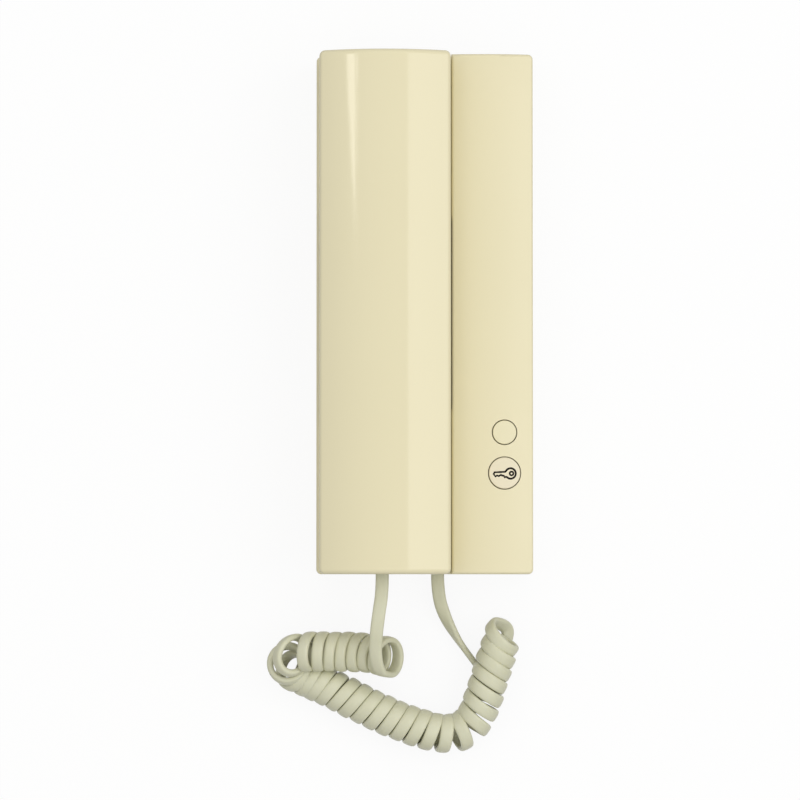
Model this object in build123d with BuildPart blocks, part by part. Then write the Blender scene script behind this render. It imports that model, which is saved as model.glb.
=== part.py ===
from build123d import *
import math
import os

# An audio door intercom: a wall base that carries a full-length handset on a curly cord.
# It lies on its back as it would hang on a wall: +Z out of the front, +Y to its top,
# +X to the button side, and the origin at the middle of its back.

os.makedirs("parts", exist_ok=True)

# Driving sizes in millimetres, base housing
body_length = 210
raised_width = 32.9
cover_wall = 2.2
deck_height = 20
raised_rise = 9.4
crest_rise = 0.8
crest_drop = 2.6
crest_place_share = 0.34
cover_corner_radius = 2
cover_edge_radius = 1.2

# Handset
handset_width = 52.7
handset_inset = 1.55
handset_side_gap = 0.35
handset_rest_gap = 0.3
finger_gap_depth = 9.7
grip_depth = 7
handset_side_rise = 6.5
handset_crest_rise = 6.5
handset_wall = 2
handset_corner_radius = 2.4
handset_edge_radius = 2.1
grip_flank_length = 6
grip_bend_radius = 3
lip_height = 1.6
lip_thickness = 0.9
lip_gap = 0.15

# Ear and mouth cups, and the cradle pockets that they rest in
cup_side_inset = 3.35
cup_end_inset = 7
cup_length = 42
cup_block_margin = 11.5
cup_corner_radius = 13
cup_depth = 5.7
cup_edge_radius = 2.4
cup_side_gap = 1
cup_floor_gap = 0.6
pocket_rim_radius = 0.8

# Clearances shared by the fits
slide_gap = 0.35
seat_gap = 0.15
screw_gap = 0.05
overrun = 1

# Places across the set that several pieces share
base_width = handset_inset + handset_width + handset_side_gap + raised_width
base_right = base_width / 2
base_left = -base_right
base_bottom = -body_length / 2
handset_left = base_left + handset_inset
handset_right = handset_left + handset_width
handset_middle = (handset_left + handset_right) / 2
step_x = handset_right + handset_side_gap
step_height = deck_height + raised_rise
crest_x = step_x + raised_width * crest_place_share
crest_height = step_height + crest_rise
edge_height = crest_height - crest_drop
block_height = deck_height + handset_rest_gap
grip_height = block_height + finger_gap_depth
handset_split_height = grip_height + grip_depth
handset_side_height = handset_split_height + handset_side_rise
handset_crest_height = handset_side_height + handset_crest_rise
cup_width = handset_width - 2 * cup_side_inset
cup_bottom = block_height - cup_depth
pocket_floor = cup_bottom - cup_floor_gap
cup_y = body_length / 2 - cup_end_inset - cup_length / 2
cup_centres = [(handset_middle, cup_y), (handset_middle, -cup_y)]
block_end = cup_y - cup_length / 2 - cup_block_margin
grip_half_length = block_end - grip_flank_length
inner_right = base_right - cover_wall
inner_end = body_length / 2 - cover_wall


def screw(seat, head_radius, head_height, shank_radius, shank_length):
    """A pan-head screw whose head stands on the seat plane, with a cross recess."""
    recess_width = head_radius * 0.36
    with BuildSketch(seat) as head:
        Circle(head_radius)
    extrude(head.sketch, amount=head_height, taper=12)
    with BuildSketch(seat) as shank:
        Circle(shank_radius)
    extrude(shank.sketch, amount=-shank_length)
    with BuildSketch(seat.offset(head_height)) as recess:
        Rectangle(head_radius * 1.3, recess_width)
        Rectangle(recess_width, head_radius * 1.3)
    extrude(recess.sketch, amount=-head_height * 0.6, mode=Mode.SUBTRACT)


# Cord exits in the bottom ends
cord_diameter = 4.3
cord_exit_inset = 5.1
cord_exit_height = 7.5
grommet_width = 8
grommet_height = 5.6
grommet_length = 8
grommet_flange = 1.2
grommet_radius = 1.6
handset_cord_shift = 1.15
handset_cord_drop = 3.4
cord_exit_x = handset_right - cord_exit_inset
handset_cord_x = handset_middle - handset_cord_shift
handset_cord_height = handset_split_height - handset_cord_drop

# Back plate
plate_thickness = 2.4
plate_corner_radius = 1.5
plate_rim_height = 3.2
plate_rim_thickness = 1.6
wall_hole_radius = 2.25
wall_hole_side_inset = 13.75
wall_hole_top_inset = 45
wall_hole_bottom_inset = 15
wall_pad_radius = 5
wall_pad_height = 1
cable_entry_width = 26
cable_entry_length = 24
cable_entry_radius = 3
cable_collar_wall = 1.4
cable_collar_height = 1.6
plate_rib_thickness = 1.2
plate_rib_height = 1.8
plate_rib_inset = 7.75
hook_width = 8
hook_spacing = 44
hook_thickness = 1.6
hook_reach = 1.1
hook_height = 5

# Circuit board on the back plate
board_side_gap = 2.55
board_hook_margin = 12
board_end_gap = 23
board_length = 104
board_thickness = 1.6
board_standoff = 2
board_screw_inset = 4
board_post_radius = 3.2
small_head_radius = 2.4
small_head_height = 1.4
small_shank_radius = 1.1
small_shank_length = 3.6
hook_side_inset = 4.5
hook_x = handset_right - hook_side_inset
board_left = hook_x - board_hook_margin
board_right = inner_right - board_side_gap
board_bottom = base_bottom + board_end_gap
board_top = board_bottom + board_length
board_bottom_height = plate_thickness + board_standoff
board_height = board_bottom_height + board_thickness
board_middle = ((board_left + board_right) / 2, (board_bottom + board_top) / 2)
board_screw_spacing_x = board_right - board_left - 2 * board_screw_inset
board_screw_spacing_y = board_top - board_bottom - 2 * board_screw_inset
board_screws_at = GridLocations(board_screw_spacing_x, board_screw_spacing_y, 2, 2).locations
board_screw_points = [(board_middle[0] + place.position.X, board_middle[1] + place.position.Y)
                      for place in board_screws_at]

# Screw that closes the cover at its bottom end
closing_screw_shift = 9.15
closing_screw_x = step_x + closing_screw_shift
closing_screw_height = 7
closing_head_radius = 2.8
closing_head_height = 1.3
closing_shank_radius = 1.2
closing_shank_length = 9
closing_pad_thickness = 1.6
closing_post_width = 9
closing_post_length = 8
closing_seat_y = base_bottom + cover_wall
closing_post_y = closing_seat_y + closing_pad_thickness + seat_gap

plate_half_width = inner_right - seat_gap
plate_half_length = inner_end - seat_gap
wall_hole_spacing_x = base_width - 2 * wall_hole_side_inset
wall_hole_spacing_y = body_length - wall_hole_top_inset - wall_hole_bottom_inset
wall_hole_middle_y = (wall_hole_bottom_inset - wall_hole_top_inset) / 2
cable_entry_y = (board_top + plate_half_length) / 2
plate_rib_x = base_left + plate_rib_inset

with BuildPart() as back_plate:
    with BuildSketch():
        RectangleRounded(2 * plate_half_width, 2 * plate_half_length, plate_corner_radius)
    extrude(amount=plate_thickness)
    with BuildSketch(Plane.XY.offset(plate_thickness)):
        RectangleRounded(2 * plate_half_width, 2 * plate_half_length, plate_corner_radius)
        Rectangle(2 * (plate_half_width - plate_rim_thickness),
                  2 * (plate_half_length - plate_rim_thickness), mode=Mode.SUBTRACT)
        # gaps in the rim for the cord grommet and for the pad of the closing screw
        with Locations((cord_exit_x, -plate_half_length)):
            Rectangle(grommet_width + 2 * (grommet_flange + seat_gap), 4 * plate_rim_thickness,
                      mode=Mode.SUBTRACT)
        with Locations((closing_screw_x, -plate_half_length)):
            Rectangle(closing_post_width + 2 * seat_gap, 4 * plate_rim_thickness,
                      mode=Mode.SUBTRACT)
    extrude(amount=plate_rim_height)
    # wall screw pads, the collar of the cable entry and the posts of the board
    with BuildSketch(Plane.XY.offset(plate_thickness)):
        with Locations((0, wall_hole_middle_y)):
            with GridLocations(wall_hole_spacing_x, wall_hole_spacing_y, 2, 2):
                Circle(wall_pad_radius)
    extrude(amount=wall_pad_height)
    with BuildSketch(Plane.XY.offset(plate_thickness)):
        with Locations((0, cable_entry_y)):
            RectangleRounded(cable_entry_width + 2 * cable_collar_wall,
                             cable_entry_length + 2 * cable_collar_wall,
                             cable_entry_radius + cable_collar_wall)
    extrude(amount=cable_collar_height)
    with BuildSketch(Plane.XY.offset(plate_thickness)):
        with Locations(board_screw_points):
            Circle(board_post_radius)
    extrude(amount=board_standoff)
    # long stiffening ribs on the free half of the plate
    with BuildSketch(Plane.XY.offset(plate_thickness)):
        with Locations((plate_rib_x, 0), (plate_rib_x / 2, 0)):
            Rectangle(plate_rib_thickness, wall_hole_spacing_y / 2)
    extrude(amount=plate_rib_height)
    # post that the closing screw bites in
    with BuildSketch(Plane.XY.offset(plate_thickness)):
        with Locations((closing_screw_x, closing_post_y)):
            Rectangle(closing_post_width, closing_post_length, align=(Align.CENTER, Align.MIN))
    extrude(amount=closing_screw_height + closing_post_width / 2 - plate_thickness)
    # hooks that hold the top end of the cover
    with BuildSketch(Plane.XY.offset(hook_height)):
        with Locations((-hook_spacing / 2, plate_half_length), (hook_spacing / 2, plate_half_length)):
            Rectangle(hook_width, 2 * plate_rim_thickness)
        with Locations((0, plate_half_length + hook_reach)):
            Rectangle(base_width, 2 * plate_rim_thickness, align=(Align.CENTER, Align.MIN),
                      mode=Mode.SUBTRACT)
    extrude(amount=hook_thickness)
    with BuildSketch():
        with Locations((0, wall_hole_middle_y)):
            with GridLocations(wall_hole_spacing_x, wall_hole_spacing_y, 2, 2):
                Circle(wall_hole_radius)
        with Locations((0, cable_entry_y)):
            RectangleRounded(cable_entry_width, cable_entry_length, cable_entry_radius)
    extrude(amount=plate_thickness + cable_collar_height + overrun, mode=Mode.SUBTRACT)
    with BuildSketch(Plane.XY.offset(board_bottom_height)):
        with Locations(board_screw_points):
            Circle(small_shank_radius + screw_gap)
    extrude(amount=-(small_shank_length - board_thickness + screw_gap), mode=Mode.SUBTRACT)
    with BuildSketch(Plane.XZ.offset(-closing_post_y)):
        with Locations((closing_screw_x, closing_screw_height)):
            Circle(closing_shank_radius + screw_gap)
    extrude(amount=-closing_post_length, mode=Mode.SUBTRACT)

back_plate.part.label = "back_plate"
export_step(back_plate.part, "parts/back_plate.step")


# Push buttons on the raised side
button_inset = 11.55
plain_button_distance = 57.1
plain_button_radius = 4.8
key_button_distance = 40.7
key_button_radius = 6.35
button_travel = 1.2
button_proud = 0.25
button_edge_radius = 0.5
button_flange_width = 0.9
button_flange_height = 1.2
button_guide_wall = 1.2
button_guide_bottom = 24.2
button_stem_width = 3.6
button_stem_rib = 1.3
button_x = base_right - button_inset
plain_button_y = base_bottom + plain_button_distance
key_button_y = base_bottom + key_button_distance
buttons = [(plain_button_y, plain_button_radius), (key_button_y, key_button_radius)]

# Hook plunger, pressed by the handset while it rests in the cradle
hook_block_margin = 6
hook_travel = 3
hook_radius = 2.2
hook_tip_gap = 0.3
hook_guide_wall = 1.3
hook_guide_length = 1.8
hook_flange_radius = 5.4
hook_flange_height = 1.2
hook_y = -block_end - hook_block_margin
hook_tip_height = block_height - hook_tip_gap
hook_guide_bottom = deck_height - cover_wall - hook_guide_length
hook_flange_top = hook_guide_bottom - hook_travel - seat_gap
hook_flange_bottom = hook_flange_top - hook_flange_height


def raised_profile(rise):
    """Outline of the cover across its width, with the raised arc lifted by rise."""
    with BuildLine() as outline:
        Polyline((base_right, edge_height + rise), (base_right, 0), (base_left, 0),
                 (base_left, deck_height), (step_x, deck_height), (step_x, step_height + rise))
        ThreePointArc((step_x, step_height + rise), (crest_x, crest_height + rise),
                      (base_right, edge_height + rise))
    make_face(outline.line)


# Front cover, moulded in one piece with the cradle deck and the raised button side
with BuildPart() as front_cover:
    with BuildSketch(Plane.XZ):
        raised_profile(0)
    extrude(amount=body_length / 2, both=True)
    offset(amount=-cover_wall, openings=front_cover.faces().sort_by(Axis.Z)[0],
           kind=Kind.INTERSECTION)
    outer_ends = front_cover.faces().sort_by(Axis.Y)
    corners = (outer_ends[0].edges() + outer_ends[-1].edges()).filter_by(Axis.Z)
    fillet([edge for edge in corners if abs(edge.center().X) > base_right - cover_wall / 2],
           cover_corner_radius)
    fillet(front_cover.faces().sort_by(Axis.Z)[-1].edges(), cover_edge_radius)
    deck = front_cover.faces().filter_by(Axis.Z).filter_by_position(Axis.Z, deck_height, deck_height)
    fillet([edge for edge in deck.edges() if edge.center().X < step_x - cover_wall],
           cover_edge_radius)
    # tubs that hang under the deck, with the pockets for the two cups
    pocket_grow = 2 * cup_side_gap
    with BuildSketch(Plane.XY.offset(pocket_floor - cover_wall)):
        with Locations(cup_centres):
            RectangleRounded(cup_width + pocket_grow + 2 * cover_wall,
                             cup_length + pocket_grow + 2 * cover_wall,
                             cup_corner_radius + cup_side_gap + cover_wall)
        with Locations((handset_middle, 0)):
            Rectangle(2 * (handset_middle - base_left) - cover_wall, 2 * inner_end,
                      mode=Mode.INTERSECT)
    extrude(amount=deck_height - pocket_floor)
    with BuildSketch(Plane.XY.offset(pocket_floor)):
        with Locations(cup_centres):
            RectangleRounded(cup_width + pocket_grow, cup_length + pocket_grow,
                             cup_corner_radius + cup_side_gap)
    extrude(amount=deck_height - pocket_floor + overrun, mode=Mode.SUBTRACT)
    rim = front_cover.faces().filter_by(Axis.Z).filter_by_position(Axis.Z, deck_height, deck_height)
    fillet([edge for wire in rim[0].inner_wires() for edge in wire.edges()], pocket_rim_radius)
    # guide tubes of the buttons and the hook plunger
    for y, radius in buttons:
        with BuildSketch(Plane.XY.offset(button_guide_bottom)):
            with Locations((button_x, y)):
                Circle(radius + slide_gap + button_guide_wall)
        extrude(amount=edge_height - button_guide_bottom)
    with BuildSketch(Plane.XY.offset(hook_guide_bottom)):
        with Locations((hook_x, hook_y)):
            Circle(hook_radius + slide_gap + hook_guide_wall)
    extrude(amount=deck_height - hook_guide_bottom)
    for y, radius in buttons:
        with BuildSketch(Plane.XY.offset(button_guide_bottom)):
            with Locations((button_x, y)):
                Circle(radius + slide_gap)
        extrude(amount=crest_height - button_guide_bottom + overrun, mode=Mode.SUBTRACT)
    with BuildSketch(Plane.XY.offset(hook_guide_bottom)):
        with Locations((hook_x, hook_y)):
            Circle(hook_radius + slide_gap)
    extrude(amount=deck_height - hook_guide_bottom + overrun, mode=Mode.SUBTRACT)
    # pad of the closing screw, its sunk head and its hole
    with BuildSketch(Plane.XZ.offset(-closing_seat_y)):
        with Locations((closing_screw_x, closing_screw_height)):
            Rectangle(closing_post_width, closing_post_width)
    extrude(amount=-closing_pad_thickness)
    with BuildSketch(Plane.XZ.offset(-base_bottom)):
        with Locations((closing_screw_x, closing_screw_height)):
            Circle(closing_head_radius + slide_gap)
    extrude(amount=-(closing_head_height + slide_gap), mode=Mode.SUBTRACT)
    with BuildSketch(Plane.XZ.offset(-base_bottom)):
        with Locations((closing_screw_x, closing_screw_height)):
            Circle(closing_shank_radius + slide_gap)
    extrude(amount=-(cover_wall + closing_pad_thickness + overrun), mode=Mode.SUBTRACT)
    # window for the cord grommet and blind slots for the plate's hooks
    with BuildSketch(Plane.XZ.offset(-base_bottom)):
        with Locations((cord_exit_x, cord_exit_height)):
            RectangleRounded(grommet_width, grommet_height, grommet_radius)
    extrude(amount=-(cover_wall + overrun), mode=Mode.SUBTRACT)
    with BuildSketch(Plane.XY.offset(hook_height - slide_gap)):
        with Locations((-hook_spacing / 2, inner_end), (hook_spacing / 2, inner_end)):
            Rectangle(hook_width + 2 * slide_gap, 2 * (hook_reach + slide_gap))
    extrude(amount=hook_thickness + 2 * slide_gap, mode=Mode.SUBTRACT)

front_cover.part.label = "front_cover"
export_step(front_cover.part, "parts/front_cover.step")

with BuildPart() as cover_screw:
    screw(Plane.XZ.offset(-(base_bottom + closing_head_height + slide_gap)).shift_origin(
        (closing_screw_x, base_bottom + closing_head_height + slide_gap, closing_screw_height)),
        closing_head_radius, closing_head_height, closing_shank_radius, closing_shank_length)

cover_screw.part.label = "cover_screw"
export_step(cover_screw.part, "parts/cover_screw.step")


with BuildPart() as circuit_board:
    with BuildSketch(Plane.XY.offset(board_bottom_height)):
        with Locations(board_middle):
            RectangleRounded(board_right - board_left, board_top - board_bottom, board_screw_inset / 4)
        with Locations(board_screw_points):
            Circle(small_shank_radius + slide_gap, mode=Mode.SUBTRACT)
    extrude(amount=board_thickness)

circuit_board.part.label = "circuit_board"
export_step(circuit_board.part, "parts/circuit_board.step")

with BuildPart() as board_screws:
    for x, y in board_screw_points:
        screw(Plane((x, y, board_height)), small_head_radius, small_head_height,
              small_shank_radius, small_shank_length)

board_screws.part.label = "board_screws"
export_step(board_screws.part, "parts/board_screws.step")


# Terminal block for the wall cable, at the top edge of the board
pole_count = 5
pole_pitch = 5.08
terminal_depth = 8.4
terminal_height = 9.6
terminal_inset = 1.2
terminal_chamfer = 1.8
terminal_screw_radius = 1.6
terminal_screw_height = 0.9
terminal_well_depth = 3.2
terminal_mouth = 2.6
terminal_mouth_depth = 5
terminal_x = board_middle[0]
terminal_y = board_top - terminal_inset - terminal_depth / 2
pole_points = [(terminal_x + (i - (pole_count - 1) / 2) * pole_pitch, terminal_y)
               for i in range(pole_count)]

with BuildPart() as terminal_block:
    with BuildSketch(Plane.XY.offset(board_height)):
        with Locations((terminal_x, terminal_y)):
            Rectangle(pole_count * pole_pitch, terminal_depth)
    extrude(amount=terminal_height)
    chamfer(terminal_block.faces().sort_by(Axis.Z)[-1].edges().filter_by(Axis.X), terminal_chamfer)
    with BuildSketch(Plane.XY.offset(board_height + terminal_height)):
        with Locations(pole_points):
            Circle(terminal_screw_radius + screw_gap)
    extrude(amount=-terminal_well_depth, mode=Mode.SUBTRACT)
    with BuildSketch(Plane.XZ.offset(-(terminal_y + terminal_depth / 2))):
        for x, y in pole_points:
            with Locations((x, board_height + terminal_mouth)):
                Rectangle(terminal_mouth, terminal_mouth)
    extrude(amount=terminal_mouth_depth, mode=Mode.SUBTRACT)

terminal_block.part.label = "terminal_block"
export_step(terminal_block.part, "parts/terminal_block.step")

with BuildPart() as terminal_screws:
    for x, y in pole_points:
        with BuildSketch(Plane.XY.offset(board_height + terminal_height - terminal_well_depth)):
            with Locations((x, y)):
                Circle(terminal_screw_radius)
        extrude(amount=terminal_well_depth - terminal_screw_height)
        with BuildSketch(Plane.XY.offset(board_height + terminal_height - terminal_screw_height)):
            with Locations((x, y)):
                Rectangle(2 * terminal_screw_radius, terminal_screw_radius / 2)
        extrude(amount=-terminal_screw_height, mode=Mode.SUBTRACT)

terminal_screws.part.label = "terminal_screws"
export_step(terminal_screws.part, "parts/terminal_screws.step")


# Call sounder, a moulded round case with its sound hole
component_inset = 2
sounder_terminal_gap = 12.4
sounder_radius = 14
sounder_height = 8.5
sounder_step = 2.2
sounder_hole_radius = 2.4
sounder_hole_depth = 3
sounder_x = board_right - component_inset - sounder_radius
sounder_y = terminal_y - terminal_depth / 2 - sounder_terminal_gap - sounder_radius

with BuildPart() as call_sounder:
    with BuildSketch(Plane.XY.offset(board_height)):
        with Locations((sounder_x, sounder_y)):
            Circle(sounder_radius)
    extrude(amount=sounder_height - sounder_step)
    with BuildSketch(Plane.XY.offset(board_height + sounder_height - sounder_step)):
        with Locations((sounder_x, sounder_y)):
            Circle(sounder_radius - sounder_step)
    extrude(amount=sounder_step)
    chamfer(call_sounder.faces().sort_by(Axis.Z)[-1].edges(), sounder_step / 3)
    with BuildSketch(Plane.XY.offset(board_height + sounder_height)):
        with Locations((sounder_x, sounder_y)):
            Circle(sounder_hole_radius)
    extrude(amount=-sounder_hole_depth, mode=Mode.SUBTRACT)

call_sounder.part.label = "call_sounder"
export_step(call_sounder.part, "parts/call_sounder.step")


# Line transformer: an iron core with a wound bobbin through it
core_width = 13
core_length = 15
core_height = 11
core_limb = 2.6
bobbin_width = 11.5
bobbin_gap = 0.1
transformer_x = board_left + component_inset + core_width / 2
transformer_y = sounder_y

with BuildPart() as transformer_core:
    with BuildSketch(Plane.XZ.offset(-(transformer_y - core_limb))):
        with Locations((transformer_x, board_height + core_height / 2)):
            Rectangle(core_width, core_height)
            Rectangle(core_width - 2 * core_limb, core_height - 2 * core_limb, mode=Mode.SUBTRACT)
    extrude(amount=-2 * core_limb)

transformer_core.part.label = "transformer_core"
export_step(transformer_core.part, "parts/transformer_core.step")

with BuildPart() as transformer_winding:
    winding_width = core_width - 2 * (core_limb + bobbin_gap)
    winding_height = core_height - 2 * (core_limb + bobbin_gap)
    with BuildSketch(Plane.XZ.offset(-(transformer_y - core_length / 2))):
        with Locations((transformer_x, board_height + core_height / 2)):
            RectangleRounded(winding_width, winding_height, winding_height / 4)
    extrude(amount=-core_length)

transformer_winding.part.label = "transformer_winding"
export_step(transformer_winding.part, "parts/transformer_winding.step")


# Electrolytic capacitors and resistors on the board
capacitor_radius = 3.15
capacitor_height = 9.5
capacitor_groove = 0.35
capacitor_pitch = 8.2
capacitor_terminal_gap = 5
resistor_radius = 1.2
resistor_length = 6
resistor_lead_radius = 0.3
resistor_span = 9
resistor_sounder_gap = 10
resistor_pitch = 4.2
resistor_count = 5
capacitor_y = terminal_y - terminal_depth / 2 - capacitor_terminal_gap - capacitor_radius
capacitor_points = [(board_right - component_inset - capacitor_radius - i * capacitor_pitch, capacitor_y)
                    for i in (0, 1, 3)]
resistor_x = (hook_x + button_x) / 2
resistor_first_y = sounder_y - sounder_radius - resistor_sounder_gap

with BuildPart() as capacitors:
    for x, y in capacitor_points:
        with BuildSketch(Plane.XZ.offset(-y)):
            with BuildLine():
                Polyline((x, board_height), (x + capacitor_radius, board_height),
                         (x + capacitor_radius, board_height + capacitor_height),
                         (x + capacitor_radius - capacitor_groove,
                          board_height + capacitor_height + capacitor_groove),
                         (x, board_height + capacitor_height + capacitor_groove),
                         (x, board_height))
            make_face()
        revolve(axis=Axis((x, y, 0), (0, 0, 1)))

capacitors.part.label = "capacitors"
export_step(capacitors.part, "parts/capacitors.step")

with BuildPart() as resistors:
    for i in range(resistor_count):
        y = resistor_first_y - i * resistor_pitch
        with BuildSketch(Plane.YZ.offset(resistor_x - resistor_length / 2)):
            with Locations((y, board_height + resistor_radius)):
                Circle(resistor_radius)
        extrude(amount=resistor_length)
        with BuildSketch(Plane.YZ.offset(resistor_x - resistor_span / 2)):
            with Locations((y, board_height + resistor_radius)):
                Circle(resistor_lead_radius)
        extrude(amount=resistor_span)
        with BuildSketch(Plane.XY.offset(board_height)):
            with Locations((resistor_x - resistor_span / 2, y), (resistor_x + resistor_span / 2, y)):
                Circle(resistor_lead_radius)
        extrude(amount=resistor_radius)

resistors.part.label = "resistors"
export_step(resistors.part, "parts/resistors.step")


# Push switches under the buttons and the plunger, each with its moving actuator
switch_width = 6
switch_height = 3.6
switch_bore_radius = 1.85
switch_bore_depth = 2.4
actuator_radius = 1.75
actuator_rise = 1.6
hook_switch_height = 3
hook_pin_radius = 1.4
hook_pin_gap = 0.3


def push_switch(x, y, height):
    """A square switch body with the bore that its actuator drops into."""
    with BuildSketch(Plane.XY.offset(board_height)) as body:
        with Locations((x, y)):
            RectangleRounded(switch_width, switch_width, switch_width / 12)
    extrude(body.sketch, amount=height)
    with BuildSketch(Plane.XY.offset(board_height + height)) as bore:
        with Locations((x, y)):
            Circle(switch_bore_radius)
    extrude(bore.sketch, amount=-switch_bore_depth, mode=Mode.SUBTRACT)


with BuildPart() as button_switches:
    for y, radius in buttons:
        push_switch(button_x, y, switch_height)

button_switches.part.label = "button_switches"
export_step(button_switches.part, "parts/button_switches.step")

with BuildPart() as hook_switch:
    push_switch(hook_x, hook_y, hook_switch_height)

hook_switch.part.label = "hook_switch"
export_step(hook_switch.part, "parts/hook_switch.step")


def button_cap(y, radius):
    """A button: its curved cap, the flange under the guide and the crossed stem."""
    flange_top = button_guide_bottom - seat_gap
    stem_top = flange_top - button_flange_height
    with BuildSketch(Plane.XY.offset(stem_top)) as cap:
        with Locations((button_x, y)):
            Circle(radius)
    extrude(cap.sketch, amount=crest_height + overrun - stem_top)
    with BuildSketch(Plane.XZ.offset(-(y - 2 * radius))) as surface:
        raised_profile(button_proud)
    extrude(surface.sketch, amount=-4 * radius, mode=Mode.INTERSECT)
    fillet(faces().sort_by(Axis.Z)[-1].edges(), button_edge_radius)
    with BuildSketch(Plane.XY.offset(stem_top)) as flange:
        with Locations((button_x, y)):
            Circle(radius + slide_gap + button_flange_width)
    extrude(flange.sketch, amount=button_flange_height)
    with BuildSketch(Plane.XY.offset(stem_top)) as stem:
        with Locations((button_x, y)):
            Rectangle(button_stem_width, button_stem_rib)
            Rectangle(button_stem_rib, button_stem_width)
    extrude(stem.sketch, amount=-(stem_top - board_height - switch_height - actuator_rise))


with BuildPart() as plain_button:
    button_cap(plain_button_y, plain_button_radius)

plain_button.part.label = "plain_button"
export_step(plain_button.part, "parts/plain_button.step")

with BuildPart() as key_button:
    button_cap(key_button_y, key_button_radius)

key_button.part.label = "key_button"
export_step(key_button.part, "parts/key_button.step")


def actuator(y):
    """The round actuator of a push switch, standing in the switch's bore."""
    depth = switch_bore_depth - button_travel - slide_gap
    with BuildSketch(Plane.XY.offset(board_height + switch_height - depth)) as pin:
        with Locations((button_x, y)):
            Circle(actuator_radius)
    extrude(pin.sketch, amount=depth + actuator_rise)


with BuildPart() as plain_switch_actuator:
    actuator(plain_button_y)

plain_switch_actuator.part.label = "plain_switch_actuator"
export_step(plain_switch_actuator.part, "parts/plain_switch_actuator.step")

with BuildPart() as key_switch_actuator:
    actuator(key_button_y)

key_switch_actuator.part.label = "key_switch_actuator"
export_step(key_switch_actuator.part, "parts/key_switch_actuator.step")

with BuildPart() as hook_plunger:
    pin_bottom = board_height + hook_switch_height - switch_bore_depth + hook_pin_gap
    with BuildSketch(Plane.XY.offset(pin_bottom)):
        with Locations((hook_x, hook_y)):
            Circle(hook_pin_radius)
    extrude(amount=hook_flange_bottom - pin_bottom)
    with BuildSketch(Plane.XY.offset(hook_flange_bottom)):
        with Locations((hook_x, hook_y)):
            Circle(hook_flange_radius)
    extrude(amount=hook_flange_height)
    with BuildSketch(Plane.XY.offset(hook_flange_top)):
        with Locations((hook_x, hook_y)):
            Circle(hook_radius)
    extrude(amount=hook_tip_height - hook_flange_top)
    fillet(hook_plunger.faces().sort_by(Axis.Z)[-1].edges(), hook_radius / 3)

hook_plunger.part.label = "hook_plunger"
export_step(hook_plunger.part, "parts/hook_plunger.step")


def biarc(start, start_way, end, end_way):
    """Point and ways of the two arcs that join two points with the given ways."""
    chord = end - start
    a = 2 * (1 - start_way.dot(end_way))
    b = 2 * chord.dot(start_way + end_way)
    c = -chord.dot(chord)
    reach = (-b + math.sqrt(b * b - 4 * a * c)) / (2 * a) if a > 1e-9 else -c / b
    return (start + start_way * reach + end - end_way * reach) / 2


def wind(points, ways, diameter, sides=0):
    """A tube of one unbroken run through the points, on a biarc from each to the next."""
    with BuildLine() as run:
        for start, start_way, end, end_way in zip(points, ways, points[1:], ways[1:]):
            joint = biarc(start, start_way, end, end_way)
            first = TangentArc(start, joint, tangent=start_way)
            TangentArc(joint, end, tangent=first % 1)
    with BuildSketch(Plane(points[0], z_dir=ways[0])) as section:
        if sides:
            RegularPolygon(diameter / 2, sides)
        else:
            Circle(diameter / 2)
    sweep(section.sketch, path=run.line)


# Return spring of the hook plunger, around the hook switch
spring_wire = 0.6
spring_radius = hook_flange_radius - spring_wire
spring_turns = 4
spring_height = hook_flange_bottom - board_height - spring_wire

with BuildPart() as hook_spring:
    quarter_turns = 4 * spring_turns
    spring_rise = spring_height / (2 * math.pi * spring_turns)
    spring_points = []
    spring_ways = []
    for i in range(quarter_turns + 1):
        angle = i * math.pi / 2
        spring_points.append(Vector(hook_x + spring_radius * math.cos(angle),
                                    hook_y + spring_radius * math.sin(angle),
                                    board_height + spring_wire / 2 + spring_rise * angle))
        spring_ways.append(Vector(-spring_radius * math.sin(angle),
                                  spring_radius * math.cos(angle), spring_rise).normalized())
    wind(spring_points[::2], spring_ways[::2], spring_wire, sides=6)

hook_spring.part.label = "hook_spring"
export_step(hook_spring.part, "parts/hook_spring.step")


# Cord grommets: a block through the wall with a flange inside it
with BuildPart() as base_grommet:
    with BuildSketch(Plane.XZ.offset(-base_bottom)):
        with Locations((cord_exit_x, cord_exit_height)):
            RectangleRounded(grommet_width - 2 * seat_gap, grommet_height - 2 * seat_gap,
                             grommet_radius - seat_gap)
    extrude(amount=-grommet_length)
    with BuildSketch(Plane.XZ.offset(-(base_bottom + cover_wall + seat_gap))):
        with Locations((cord_exit_x, cord_exit_height)):
            RectangleRounded(grommet_width + 2 * grommet_flange,
                             grommet_height + grommet_flange, grommet_radius)
    extrude(amount=-grommet_flange)

base_grommet.part.label = "base_grommet"
export_step(base_grommet.part, "parts/base_grommet.step")

with BuildPart() as handset_grommet:
    with BuildSketch(Plane.XZ.offset(-base_bottom)):
        with Locations((handset_cord_x, handset_cord_height)):
            RectangleRounded(grommet_width - 2 * seat_gap, grommet_height - 2 * seat_gap,
                             grommet_radius - seat_gap)
    extrude(amount=-grommet_length)
    with BuildSketch(Plane.XZ.offset(-(base_bottom + handset_wall + seat_gap))):
        with Locations((handset_cord_x, handset_cord_height)):
            RectangleRounded(grommet_width + 2 * grommet_flange,
                             grommet_height + grommet_flange, grommet_radius)
    extrude(amount=-grommet_flange)

handset_grommet.part.label = "handset_grommet"
export_step(handset_grommet.part, "parts/handset_grommet.step")


# Handset screws, from the grip's inner side
handset_screw_inset = 6.5
handset_head_radius = 2.7
handset_head_height = 1.6
handset_head_sink = 2.2
handset_shank_radius = 1.2
handset_shank_length = 9
handset_boss_radius = 4
handset_boss_rise = 2
handset_screw_y = grip_half_length - handset_screw_inset
handset_screw_points = [(handset_middle, handset_screw_y), (handset_middle, -handset_screw_y)]
head_seat = grip_height + handset_head_sink
boss_meeting = head_seat + handset_boss_rise

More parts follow.
